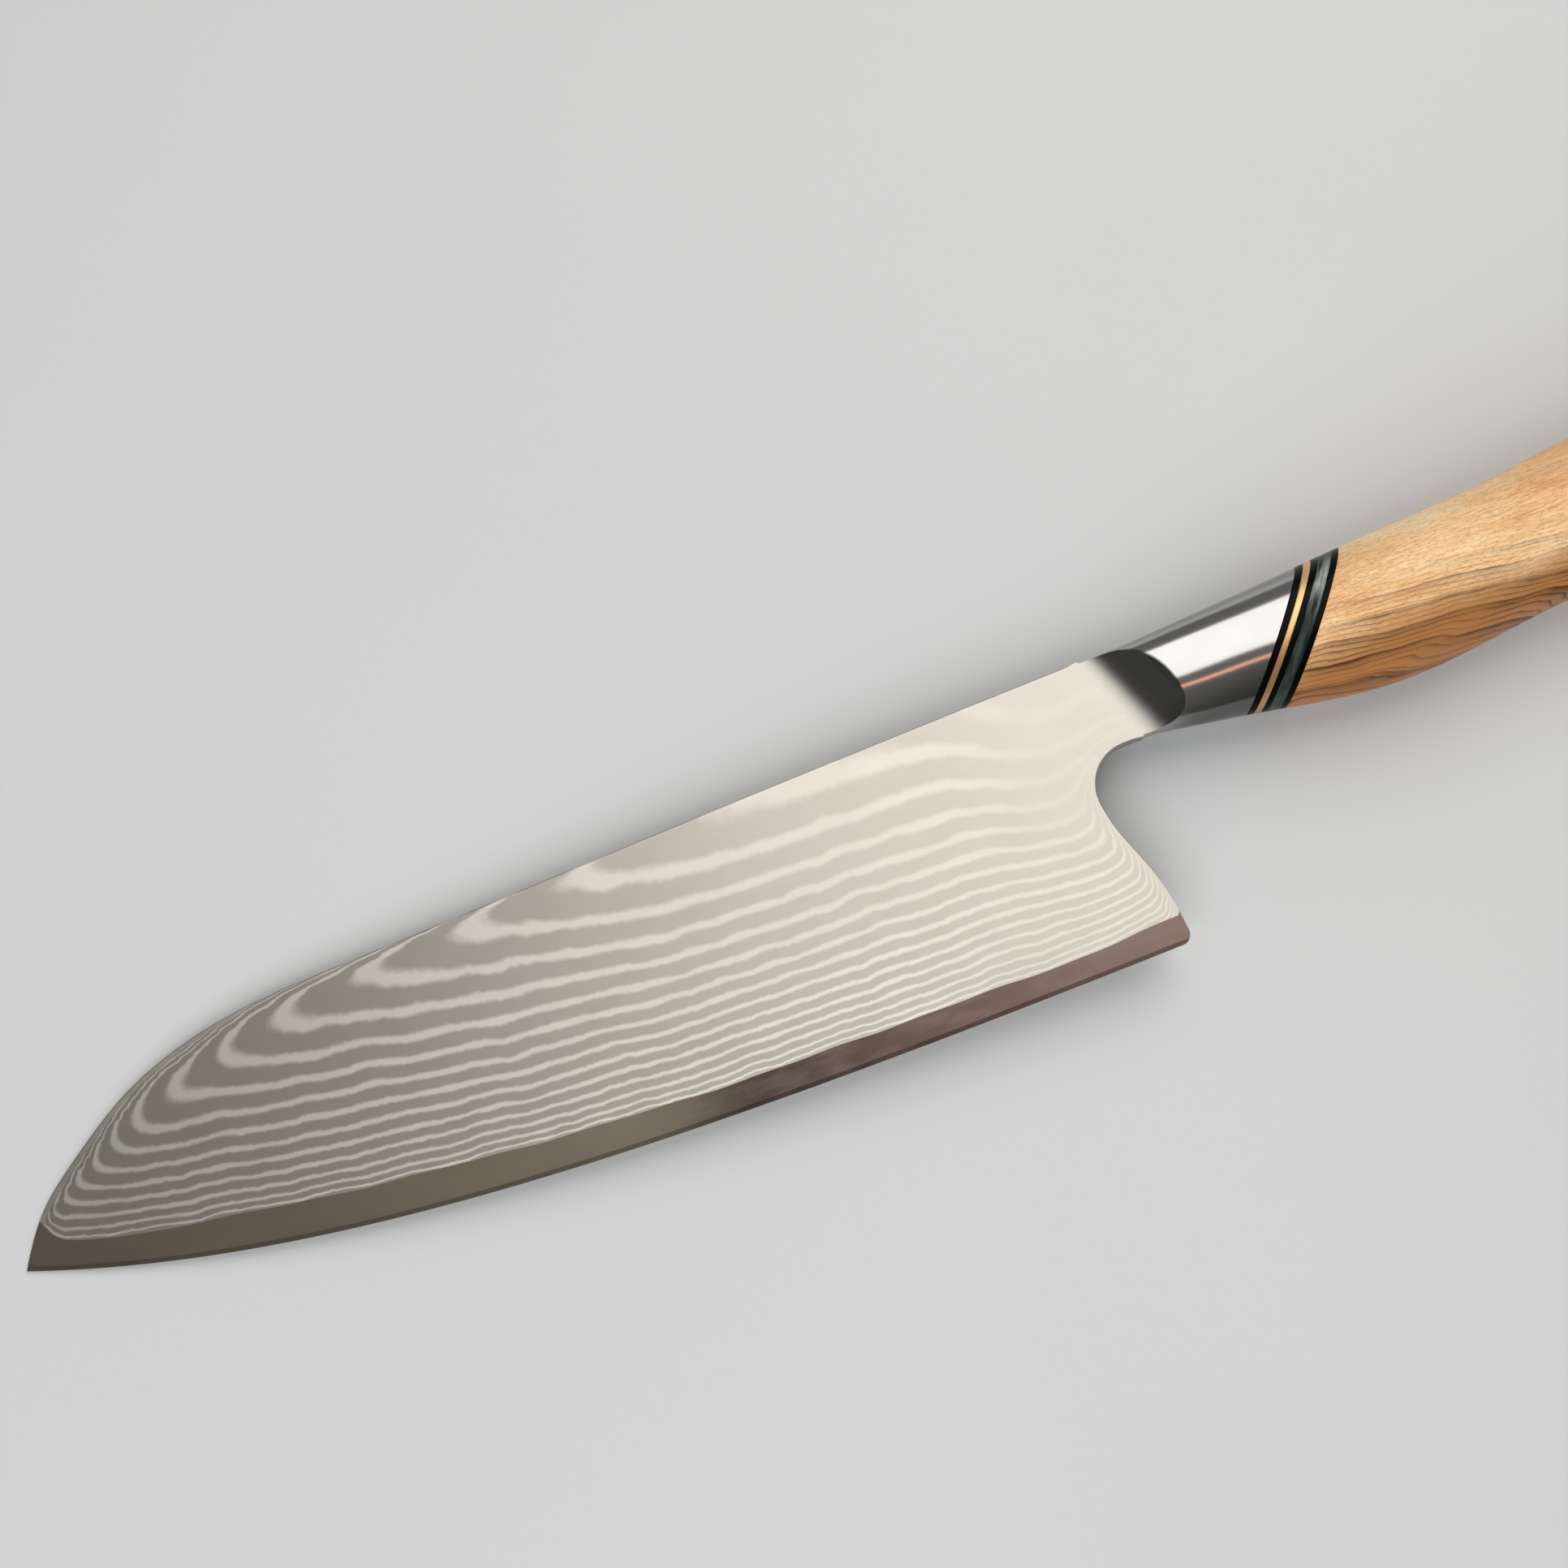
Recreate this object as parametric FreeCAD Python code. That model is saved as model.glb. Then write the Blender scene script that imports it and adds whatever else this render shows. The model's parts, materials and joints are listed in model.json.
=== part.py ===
import FreeCAD, Part
import math
import os

from FreeCAD import Placement, Rotation, Vector

# Chef's knife with a three-layer blade, a scooped steel bolster, a slanted stack of
# spacers and a carved wooden handle on a hidden stick tang.
#
# Everything is first built in the knife's own straight frame, in millimetres:
#   X runs from the tip (0) to the butt, Y from the board line (0) up to the spine,
#   Z to the left of the blade's middle plane (0).
# At the end every piece is laid on its right side, as the knife rests on a table.

os.makedirs("parts", exist_ok=True)

# --- Blade -----------------------------------------------------------------------------
BLADE_LENGTH = 180.6        # tip to the back of the heel
TIP_HEIGHT = 21.0           # tip above the board line
EDGE_DECAY = 53.0           # the edge drops by a factor of e over this length
EDGE_SINK = 0.55            # and levels out this far below the board line
SPINE_POINTS = [            # top outline, tip to bolster
    (0.0, TIP_HEIGHT),
    (5.0, 28.7),
    (11.0, 33.9),
    (20.0, 40.1),
    (31.0, 44.5),
    (43.0, 46.6),
    (58.0, 47.2),
    (110.0, 48.5),
    (184.1, 49.9),
]
HEEL_CORNER_RADIUS = 1.9
HEEL_BACK_POINTS = [        # back of the heel, which leans forward as it rises
    (180.1, 11.0),
    (178.6, 17.2),
    (177.3, 22.6),
]
CHOIL_X = 177.0             # where the round finger notch begins
CHOIL_Y = 26.2
CHOIL_RADIUS = 7.8

BEVEL_HEIGHT = 0.7          # sharpened bevel, above the edge
BEVEL_HALF_THICKNESS = 0.16
GRIND_SLOPE = 0.0224        # half thickness gained per millimetre above the bevel
GRIND_HOLLOW = 0.002        # how fast the slope falls off at the bolster
TAPER_HOLLOW = 0.0125       # and how much faster it falls off at the tip
CORE_BAND = 4.8             # height of bare core steel above the edge
GRIND_X = range(-10, 211, 10)     # stations of the ground surfaces along the blade
GRIND_RISE = range(-5, 65, 10)    # and above the edge
THICK_BLANK = 4.0           # half thickness of the blank that the cheeks are ground from

# --- Bolster ---------------------------------------------------------------------------
WELD_TOP = (184.1, 49.9)    # the blade stops on this slanted line
WELD_BOTTOM = (188.7, 34.05)
SCOOP_RADIUS = 10.0
SCOOP_LEAD = 0.6            # the scoop starts this far in front of the weld
STUB_BACK_X = 194.0         # the blade's stub inside the bolster
STUB_LOW_Y = 37.0
STUB_HIGH_Y = 46.0
STUB_OVERLAP = 10.0         # the stub's cutter starts this far in front of the weld
NECK_HALF_THICKNESS = 1.6
NECK_FRONT_X = 180.1
NECK_BACK_X = 203.0
NECK_SINK = 0.05

# --- Handle body: bolster, spacers and wood share one carved outline -------------------
HANDLE_STATIONS = [         # x, top, bottom, half thickness
    (178.0, 49.9, 33.4, 5.0),
    (190.0, 49.85, 34.1, 5.6),
    (198.0, 50.2, 32.9, 6.3),
    (208.0, 50.7, 31.2, 7.8),
    (218.0, 51.2, 29.3, 9.2),
    (232.0, 52.1, 27.3, 10.3),
    (246.0, 52.8, 27.5, 10.5),
    (262.0, 53.7, 29.0, 10.2),
    (278.0, 55.5, 29.6, 10.9),
    (300.0, 59.2, 28.0, 13.3),
    (324.0, 62.5, 27.5, 15.5),
]
SWELL_X = 238.0             # fattest place of the front of the grip
SWELL_HALF_THICKNESS = 10.45
AXIS_X = 237.0              # a point of the handle's axis, which tips up at the rear
AXIS_Y = 39.9
AXIS_RISE_DEG = 4.0
BUTT_FROM_AXIS_POINT = 82.0
BUTT_CHAMFER = 0.8

# Facets are long shallow hollows: distance from the axis at the waist, place of the
# waist behind AXIS_X, and radius of the hollow along the handle.
SIDE_FACET = (10.2, 36.0, 560.0)
SPINE_FACET = (12.5, 38.0, 560.0)    # also on the belly
CORNER_FACET = (10.5, 45.0, 340.0)   # on the four corners between them

# --- Slanted joint and spacers ---------------------------------------------------------
JOINT_X = 215.6             # where the bolster's back face crosses JOINT_Y
JOINT_Y = 41.0
JOINT_SLANT_DEG = 43.0
SPACERS = [                 # node, thickness square to the joint
    ("liner_front_black", 1.1),
    ("spacer_brass", 1.0),
    ("liner_mid_black", 1.0),
    ("spacer_slate", 1.8),
    ("liner_rear_black", 1.0),
]

# --- Tang ------------------------------------------------------------------------------
TANG_FRONT = (STUB_BACK_X, 41.3)
TANG_BACK = (288.0, 42.9)
TANG_HEIGHT = 9.0
TANG_HALF_THICKNESS = 1.5
BEDDING_GAP = 0.6

WIDE = 40.0                 # larger than the knife is thick
FAR_X = 400.0               # behind the whole knife


def edge_height(x):
    """Height of the cutting edge above the board line."""
    return (TIP_HEIGHT + EDGE_SINK) * math.exp(-x / EDGE_DECAY) - EDGE_SINK


def cheek_half_thickness(x, above_edge):
    """Half the blade's thickness at a height above the cutting edge."""
    rise = above_edge - BEVEL_HEIGHT
    to_tip = (WELD_TOP[0] - x) / WELD_TOP[0]
    hollow = GRIND_HOLLOW + TAPER_HOLLOW * to_tip * to_tip
    return BEVEL_HALF_THICKNESS + GRIND_SLOPE * rise * (1.0 - hollow * rise)


def spline_edge(points):
    curve = Part.BSplineCurve()
    curve.interpolate(points)
    return curve.toShape()


def line(start, end):
    return Part.LineSegment(start, end).toShape()


def arc(start, middle, end):
    return Part.Arc(start, middle, end).toShape()


def flat_solid(edges, low_z, high_z):
    """Solid plate whose outline is the given edges at z = low_z."""
    return Part.Face(Part.Wire(edges)).extrude(Vector(0, 0, high_z - low_z))


def mirrored(shape):
    return shape.mirror(Vector(0, 0, 0), Vector(0, 0, 1))


def one_solid(shape):
    """The single solid of a boolean result, with seams between equal faces removed."""
    solids = shape.removeSplitter().Solids
    if len(solids) != 1:
        raise RuntimeError("expected one solid, got %d" % len(solids))
    return solids[0]


# --- Blade solids ----------------------------------------------------------------------
def weld_x(y):
    """Where the weld line stands at a height."""
    part_way = (WELD_TOP[1] - y) / (WELD_TOP[1] - WELD_BOTTOM[1])
    return WELD_TOP[0] + part_way * (WELD_BOTTOM[0] - WELD_TOP[0])


def blade_plate(low_z, high_z):
    """Blade outline with its stub; the edge side is left open for the bevels to cut."""
    z = low_z
    spine = spline_edge([Vector(x, y, z) for x, y in SPINE_POINTS])
    below_edge = -3.0
    heel_x = BLADE_LENGTH
    corner = HEEL_CORNER_RADIUS
    bite = corner * (1.0 - math.sqrt(0.5))
    heel_low = edge_height(heel_x - corner)
    low_front = Vector(0.0, below_edge, z)
    low_back = Vector(heel_x - corner, below_edge, z)
    corner_start = Vector(heel_x - corner, heel_low, z)
    corner_middle = Vector(heel_x - bite, heel_low + bite, z)
    corner_end = Vector(heel_x, heel_low + corner, z)
    choil_start = Vector(CHOIL_X, CHOIL_Y, z)
    heel_back = [corner_end]
    heel_back += [Vector(x, y, z) for x, y in HEEL_BACK_POINTS]
    heel_back += [choil_start]
    choil_middle = Vector(
        CHOIL_X + CHOIL_RADIUS * (1.0 - math.sqrt(0.5)),
        CHOIL_Y + CHOIL_RADIUS * math.sqrt(0.5),
        z,
    )
    choil_end = Vector(CHOIL_X + CHOIL_RADIUS, CHOIL_Y + CHOIL_RADIUS, z)
    stub = [Vector(weld_x(STUB_LOW_Y), STUB_LOW_Y, z), Vector(STUB_BACK_X, STUB_LOW_Y, z)]
    stub += [Vector(STUB_BACK_X, STUB_HIGH_Y, z), Vector(weld_x(STUB_HIGH_Y), STUB_HIGH_Y, z)]
    weld_low = Vector(*WELD_BOTTOM, z)
    weld_high = Vector(*WELD_TOP, z)
    tip = Vector(*SPINE_POINTS[0], z)
    edges = [
        line(tip, low_front),
        line(low_front, low_back),
        line(low_back, corner_start),
        arc(corner_start, corner_middle, corner_end),
        spline_edge(heel_back),
        arc(choil_start, choil_middle, choil_end),
        line(choil_end, weld_low),
        line(weld_low, stub[0]),
        line(stub[0], stub[1]),
        line(stub[1], stub[2]),
        line(stub[2], stub[3]),
        line(stub[3], weld_high),
        spine,
    ]
    return flat_solid(edges, low_z, high_z)


def under_left_cheek():
    """Everything to the right of the left ground cheek."""
    rows = []
    for x in GRIND_X:
        row = []
        for above in GRIND_RISE:
            row.append(Vector(x, edge_height(x) + above, cheek_half_thickness(x, above)))
        rows.append(row)
    surface = Part.BSplineSurface()
    surface.interpolate(rows)
    return surface.toShape().extrude(Vector(0, 0, -WIDE))


def under_left_bevel():
    """Everything to the right of the left sharpened bevel."""
    lean = BEVEL_HALF_THICKNESS / BEVEL_HEIGHT
    reach = 2 * WIDE
    below = 4.0
    start = Vector(0, -below, -below * lean)
    edge_line = [Vector(x, edge_height(x), 0) + start for x in GRIND_X]
    sheet = spline_edge(edge_line).extrude(Vector(0, reach, reach * lean))
    return sheet.extrude(Vector(0, 0, -WIDE))


def blade_solids():
    """Core, left cladding and right cladding."""
    cheek = under_left_cheek()
    bevel = under_left_bevel()
    core_half = cheek_half_thickness(WELD_TOP[0], CORE_BAND)
    core = blade_plate(-core_half, core_half)
    for cutter in (bevel, mirrored(bevel), cheek, mirrored(cheek)):
        core = core.common(cutter)
    cladding = blade_plate(core_half, THICK_BLANK).common(cheek)
    return one_solid(core), one_solid(cladding), one_solid(mirrored(cladding))


# --- Handle body -----------------------------------------------------------------------
def handle_body():
    """Oval body from neck to butt, before the joints and facets are cut."""
    sections = []
    for x, top, bottom, half_thickness in HANDLE_STATIONS:
        middle = Vector(x, (top + bottom) / 2.0, 0)
        oval = Part.Ellipse(Vector(x, top, 0), middle + Vector(0, 0, half_thickness), middle)
        sections.append(Part.Wire(oval.toShape()))
    return Part.makeLoft(sections, True)


def joint_point(offset):
    """Point of a joint plane, set back square to the slant by offset."""
    slant = math.radians(JOINT_SLANT_DEG)
    return Vector(JOINT_X + offset / math.cos(slant), JOINT_Y, 0)


def slanted_slab(front_offset, back_offset):
    """All space between two joint planes."""
    thickness = back_offset - front_offset
    slab = Part.makeBox(thickness, 8 * WIDE, 2 * WIDE, Vector(0, -4 * WIDE, -WIDE))
    slab.rotate(Vector(0, 0, 0), Vector(0, 0, 1), -JOINT_SLANT_DEG)
    slab.translate(joint_point(front_offset))
    return slab


def tang_bar(front, back, grow):
    """Straight flat bar between two points, grown by a gap on its four long sides."""
    run = Vector(back[0] - front[0], back[1] - front[1], 0)
    height = TANG_HEIGHT + 2 * grow
    half_thickness = TANG_HALF_THICKNESS + grow
    bar = Part.makeBox(run.Length, height, 2 * half_thickness, Vector(0, -height / 2, -half_thickness))
    bar.rotate(Vector(0, 0, 0), Vector(0, 0, 1), math.degrees(math.atan2(run.y, run.x)))
    bar.translate(Vector(*front, 0))
    return bar


def behind_weld():
    """All space behind the weld plane."""
    outline = [
        Vector(weld_x(-WIDE), -WIDE, -WIDE),
        Vector(FAR_X, -WIDE, -WIDE),
        Vector(FAR_X, 3 * WIDE, -WIDE),
        Vector(weld_x(3 * WIDE), 3 * WIDE, -WIDE),
    ]
    edges = [line(outline[i - 1], outline[i]) for i in range(4)]
    return flat_solid(edges, -WIDE, WIDE)


def left_scoop():
    """Cylinder that hollows the left side, tangent to the blade's cheek."""
    low = Vector(*WELD_BOTTOM, cheek_half_thickness(WELD_BOTTOM[0], WELD_BOTTOM[1]))
    high = Vector(*WELD_TOP, cheek_half_thickness(WELD_TOP[0], WELD_TOP[1]))
    along = (low - high).normalize()
    forward = Vector(along.y, -along.x, 0).normalize()
    outward = along.cross(forward).normalize()
    if outward.z < 0:
        outward = -outward
    centre = high - along * WIDE + forward * SCOOP_LEAD + outward * SCOOP_RADIUS
    return Part.makeCylinder(SCOOP_RADIUS, 2 * WIDE + (low - high).Length, centre, along)


def neck_wedge():
    """Flat spine and belly of the neck, which run out into the round bolster."""
    tip = Vector(NECK_BACK_X, 0, 0)
    left = Vector(NECK_FRONT_X, 0, NECK_HALF_THICKNESS)
    right = Vector(NECK_FRONT_X, 0, -NECK_HALF_THICKNESS)
    plan = Part.Wire([line(left, tip), line(tip, right), line(right, left)])
    wedge = Part.Face(plan).extrude(Vector(0, 2 * WIDE, 0))
    z = -WIDE
    tops = [Vector(x, top - NECK_SINK, z) for x, top, bottom, half in HANDLE_STATIONS]
    lows = [Vector(x, bottom + NECK_SINK, z) for x, top, bottom, half in HANDLE_STATIONS]
    side = [spline_edge(lows), line(lows[-1], tops[-1]), spline_edge(tops), line(tops[0], lows[0])]
    return wedge.common(flat_solid(side, -WIDE, WIDE))


def bolster_solid(body):
    steel = body.fuse(neck_wedge())
    steel = steel.common(behind_weld())
    steel = steel.common(slanted_slab(-2 * WIDE, 0.0))
    scoop = left_scoop()
    steel = steel.cut(scoop).cut(mirrored(scoop))
    stub = Part.makeBox(
        STUB_BACK_X - WELD_TOP[0] + STUB_OVERLAP,
        STUB_HIGH_Y - STUB_LOW_Y,
        WIDE,
        Vector(WELD_TOP[0] - STUB_OVERLAP, STUB_LOW_Y, -WIDE / 2),
    )
    cheek = under_left_cheek()
    steel = steel.cut(stub.common(cheek).common(mirrored(cheek)))
    return one_solid(steel.cut(tang_bar(TANG_FRONT, TANG_BACK, 0.0)))


def facet_cutter(angle_deg, facet):
    """Large cylinder whose wall hollows one long facet."""
    distance, waist, radius = facet
    cutter = Part.makeCylinder(radius, 4 * WIDE, Vector(waist, distance + radius, -2 * WIDE))
    cutter.rotate(Vector(0, 0, 0), Vector(1, 0, 0), angle_deg)
    cutter.rotate(Vector(0, 0, 0), Vector(0, 0, 1), AXIS_RISE_DEG)
    cutter.translate(Vector(AXIS_X, AXIS_Y, 0))
    return cutter


def along_axis(distance):
    """Point of the handle's axis behind AXIS_X."""
    rise = math.radians(AXIS_RISE_DEG)
    return Vector(AXIS_X + distance * math.cos(rise), AXIS_Y + distance * math.sin(rise), 0)


def grip_solid(body, front_offset):
    """Wooden grip with eight facets at the rear, a flat butt and a blind tang hole."""
    wood = body.common(slanted_slab(front_offset, front_offset + 4 * WIDE))
    facets = {0: SPINE_FACET, 90: SIDE_FACET, 180: SPINE_FACET, 270: SIDE_FACET}
    for corner in (45, 135, 225, 315):
        facets[corner] = CORNER_FACET
    for angle_deg in sorted(facets):
        wood = wood.cut(facet_cutter(angle_deg, facets[angle_deg]))
    behind = Part.makeBox(WIDE, 4 * WIDE, 4 * WIDE, Vector(0, -2 * WIDE, -2 * WIDE))
    behind.rotate(Vector(0, 0, 0), Vector(0, 0, 1), AXIS_RISE_DEG)
    behind.translate(along_axis(BUTT_FROM_AXIS_POINT))
    wood = one_solid(wood.cut(behind))
    butt = max(wood.Faces, key=lambda face: face.CenterOfMass.x)
    return wood.makeChamfer(BUTT_CHAMFER, butt.Edges)


# --- All pieces in the knife's straight frame ------------------------------------------
def knife_pieces():
    pieces = {}
    core, cladding_left, cladding_right = blade_solids()
    pieces["blade_core"] = core
    pieces["cladding_left"] = cladding_left
    pieces["cladding_right"] = cladding_right
    body = handle_body()
    pieces["bolster"] = bolster_solid(body)
    pieces["tang"] = tang_bar(TANG_FRONT, TANG_BACK, 0.0)
    bore_back = (TANG_BACK[0] + BEDDING_GAP, TANG_BACK[1])
    bore = tang_bar(TANG_FRONT, bore_back, BEDDING_GAP)
    offset = 0.0
    for node, thickness in SPACERS:
        disc = body.common(slanted_slab(offset, offset + thickness))
        pieces[node] = one_solid(disc.cut(bore))
        offset += thickness
    pieces["handle_grip"] = one_solid(grip_solid(body, offset).cut(bore))
    bedding = bore.common(slanted_slab(0.0, 4 * WIDE))
    pieces["tang_bedding"] = one_solid(bedding.cut(pieces["tang"]))
    return pieces


def rest_placement(pieces):
    """Lay the knife on its right side, origin under the middle of its box."""
    rest_angle = math.degrees(math.atan2(SWELL_HALF_THICKNESS, SWELL_X))
    turn = Rotation(Vector(0, 1, 0), -rest_angle)
    turned = Part.Compound([piece.copy() for piece in pieces.values()])
    turned.Placement = Placement(Vector(0, 0, 0), turn)
    box = turned.optimalBoundingBox()
    return Placement(Vector(-box.Center.x, -box.Center.y, -box.ZMin), turn), box


PIECES = knife_pieces()
PLACEMENT, BOX = rest_placement(PIECES)
for node, solid in PIECES.items():
    placed = solid.copy()
    placed.transformShape(PLACEMENT.toMatrix())
    placed.exportStep("parts/%s.step" % node)
    print("%-18s volume %9.1f mm3  valid %s" % (node, placed.Volume, placed.isValid()))
print("length %.1f  width %.1f  height %.1f mm" % (BOX.XLength, BOX.YLength, BOX.ZLength))
print("placement", PLACEMENT)
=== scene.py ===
import json
import math

import bpy
import numpy as np
from mathutils import Matrix, Vector
from mathutils.geometry import delaunay_2d_cdt


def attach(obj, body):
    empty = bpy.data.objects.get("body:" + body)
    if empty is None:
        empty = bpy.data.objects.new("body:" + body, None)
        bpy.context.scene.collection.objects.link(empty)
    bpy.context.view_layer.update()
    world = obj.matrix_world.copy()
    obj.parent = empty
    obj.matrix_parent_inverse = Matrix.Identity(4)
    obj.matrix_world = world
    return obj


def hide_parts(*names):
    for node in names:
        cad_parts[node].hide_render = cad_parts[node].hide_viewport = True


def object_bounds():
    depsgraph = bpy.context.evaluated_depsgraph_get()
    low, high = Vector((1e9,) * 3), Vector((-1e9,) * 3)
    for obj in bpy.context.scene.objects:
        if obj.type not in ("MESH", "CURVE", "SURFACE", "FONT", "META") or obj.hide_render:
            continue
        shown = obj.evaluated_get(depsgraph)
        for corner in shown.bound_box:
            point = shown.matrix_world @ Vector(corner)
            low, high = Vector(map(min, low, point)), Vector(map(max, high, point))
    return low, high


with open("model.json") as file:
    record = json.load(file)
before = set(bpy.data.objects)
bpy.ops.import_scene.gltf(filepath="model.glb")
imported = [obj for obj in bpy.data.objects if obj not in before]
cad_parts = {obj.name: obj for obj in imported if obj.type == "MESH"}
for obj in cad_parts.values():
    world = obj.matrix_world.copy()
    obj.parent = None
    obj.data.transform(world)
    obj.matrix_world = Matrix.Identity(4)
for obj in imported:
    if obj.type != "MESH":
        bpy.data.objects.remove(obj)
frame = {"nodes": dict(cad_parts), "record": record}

# Chef's knife: layered blade, scooped steel bolster, slanted spacers, carved wooden grip.
# Shapes are worked out in the knife's own straight frame, in millimetres, as in the CAD
# model: X from tip to butt, Y from the board line to the spine, Z to the left. The frame's
# mounts say where that straight frame lies in the row frame.

CAD_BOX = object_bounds()
RECORD = frame["record"]
MOUNTS = {mount["name"]: mount for mount in RECORD["mounts"]}
MM = 0.001

# --- Blade shape, as in the CAD model --------------------------------------------------
HEEL_X = MOUNTS["blade_slot"]["dims"]["length_mm"]
TIP_Y = 21.0
EDGE_DECAY = 53.0           # the edge curves down to the board like a decaying curve
EDGE_SINK = 0.55
SPINE_POINTS = [
    (0.0, TIP_Y), (5.0, 28.7), (11.0, 33.9), (20.0, 40.1), (31.0, 44.5),
    (43.0, 46.6), (58.0, 47.2), (110.0, 48.5), (184.1, 49.9),
]
HEEL_CORNER = 1.9
HEEL_BACK = [(180.1, 11.0), (178.6, 17.2), (177.3, 22.6)]
NOTCH = (177.0, 26.2)       # the finger notch starts here and turns a quarter circle
NOTCH_RADIUS = 7.8
WELD_TOP = (184.1, 49.9)
WELD_LOW = (188.7, 34.05)
BEVEL_HEIGHT = 0.7
BEVEL_HALF = 0.16
GRIND_SLOPE = 0.0224
GRIND_HOLLOW = 0.002
TAPER_HOLLOW = 0.0125
EDGE_ROUND = 0.35           # spine, heel and notch are eased by this much
SLOT_MIDDLE = (90.0, 25.5)  # where the blade_slot mount sits in the knife's frame

# --- Layer pattern of the cladding ------------------------------------------------------
CORE_BAND = [               # x, height of the bare core above the edge
    (4.0, 4.5), (12.0, 4.45), (21.0, 4.9), (33.0, 5.5), (46.0, 5.65), (76.0, 5.1),
    (96.0, 4.8), (116.0, 4.5), (146.0, 4.35), (165.0, 4.15), (181.0, 4.6),
]
CORE_TIP_X = 3.9            # the bare core reaches the spine here
CORE_TIP_RISE = 3.2
CORE_TIP_REACH = 0.9
CORE_RIPPLES = [(0.07, 2.1, 0), (0.09, 4.6, 1), (0.08, 9.0, 0)]    # height, length, shift
RIPPLE_RUN = (8, 25)        # the ripple grows along this run
TURNS = [                   # x, number of the layer line that turns back at the spine
    (-5.0, 0.5), (4.0, 2.4), (11.0, 4.2), (17.0, 5.5), (30.0, 7.3),
    (46.0, 10.0), (69.0, 12.6), (108.0, 14.8), (184.0, 18.0),
]
LAYERS_TIP, LAYERS_HEEL = 14.0, 17.6
DEPTH_TIP, DEPTH_HEEL = 21.9, 25.5
TIP_TO_HEEL = (30, 125)     # the spacing of the layers changes along this run
HEEL_RUN = (152, 180)       # here the layers crowd together a little
HEEL_CROWDING = 0.29
FIRST_LAYER = (0.5, 0.8)    # layers missing just above the core: how many, how far up
SPINE_SLOPE = 0.42          # layers per millimetre below the spine, where lines turn back
TURN_SHARPNESS = 0.85       # larger makes the lines turn back more sharply
TIP_HUG = (6.0, 0.55)       # extra layers packed along the spine: how many, how deep
TIP_HUG_END = (26, 44)
MIDDLE_HUG = (3.0, 1.0)
MIDDLE_HUG_START, MIDDLE_HUG_END = (22, 36), (50, 110)
BACK_SWINGS = [(3.4, 0.9), (1.1, 3.6)]      # layers that swing up at the back edge
SLOPE_STEP = 0.05
WANDER, WANDER_POWER = 0.34, 0.6            # lines wander less where they are close
# Painted highlight: the lines lose contrast toward the heel and next to the bolster.
FADE = 0.70                 # share of the contrast lost along this run toward the heel
FADE_RUN = (40, 145)
FADE_LOW = 0.60             # low lines lose only this share of that
FADE_LOW_TOP = (8, 28)
FADE_EVEN_RUN = (125, 160)  # behind this run low and high lines fade alike
NECK_FADE = 0.8             # share of the rest lost high up, next to the bolster
NECK_RUN, NECK_RISE = (150, 174), (14, 30)
BACK_FADE = (0.0, 1.2)      # the lines fade out this close to the back edge

# --- Blade meshes' spacing --------------------------------------------------------------
MESH_STEP = 1.1
CLEARANCE = 0.55            # in steps, between the spread points and the fixed lines
MERGE_DISTANCE = 1e-5
CORE_LINE_POINTS = 330
BEVEL_POINTS = 170
BEVEL_START = 1.2
EASE_LEFT = 0.55            # share of the thickness left at the very edge of an eased edge
EASE_DEPTHS = (0.04, 0.10, 0.19, 0.27, EDGE_ROUND, 0.8)
EASE_END = (0.2, 1.8)       # the easing runs out this close to the weld
CORE_CLEAR, WELD_CLEAR = 0.25, 0.3          # the extra lines keep this far off those two
RUN_CLEAR = 0.97            # share of its depth a line keeps from its own run
RIM_CLEAR = 0.02            # rim points start this far above the core line

# --- Handle shape, as in the CAD model -------------------------------------------------
STATIONS = np.array([       # x, top, bottom, half thickness
    (178.0, 49.9, 33.4, 5.0),
    (190.0, 49.85, 34.1, 5.6),
    (198.0, 50.2, 32.9, 6.3),
    (208.0, 50.7, 31.2, 7.8),
    (218.0, 51.2, 29.3, 9.2),
    (232.0, 52.1, 27.3, 10.3),
    (246.0, 52.8, 27.5, 10.5),
    (262.0, 53.7, 29.0, 10.2),
    (278.0, 55.5, 29.6, 10.9),
    (300.0, 59.2, 28.0, 13.3),
    (324.0, 62.5, 27.5, 15.5),
])
AXIS_POINT = (237.0, 39.9)
AXIS_RISE = math.radians(4.0)
BUTT_DISTANCE = 81.98
BUTT_CHAMFER = 0.8
SIDE_FACET = (10.2, 36.0, 560.0)
SPINE_FACET = (12.5, 38.0, 560.0)
CORNER_FACET = (10.5, 45.0, 340.0)
FACETS = [SIDE_FACET, CORNER_FACET, SPINE_FACET, CORNER_FACET] * 2
FACET_SHARPNESS = 9.0       # larger is crisper
HANDLE_INSET = 0.03         # keeps the finer mesh inside the CAD surface
SCOOP_RADIUS = 10.0
SCOOP_END = SCOOP_RADIUS * 0.9999           # just before the arc stands upright
SCOOP_REACH, SCOOP_STEPS = 13, 1301         # how far, and at how many points, its end is sought
SCOOP_SHORTEST = 0.3        # the scoop ends at least this far behind the weld
JOINT = (215.6, 41.0)
JOINT_SLANT = math.radians(43.0)
JOINT_GROOVE = 0.03         # rims at the joints are eased by this much
SPACERS = [
    ("liner_front_black", 1.1, "black_liner"),
    ("spacer_brass", 1.0, "brass"),
    ("liner_mid_black", 1.0, "black_liner"),
    ("spacer_slate", 1.8, "slate_spacer"),
    ("liner_rear_black", 1.0, "black_liner"),
]
BORE_FRONT = (194.0, 41.3)
BORE_BACK = (288.6, 42.9)
BORE_HALF_HEIGHT = 5.1
BORE_HALF_THICKNESS = 2.1
BORE_RINGS = (240.0, 265.0, BORE_BACK[0])   # where the tang hole has points in the grip
BOLSTER_BORE_RINGS = (202.0, BORE_FRONT[0] + 0.5)
AROUND = 288                # points round the handle
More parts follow.
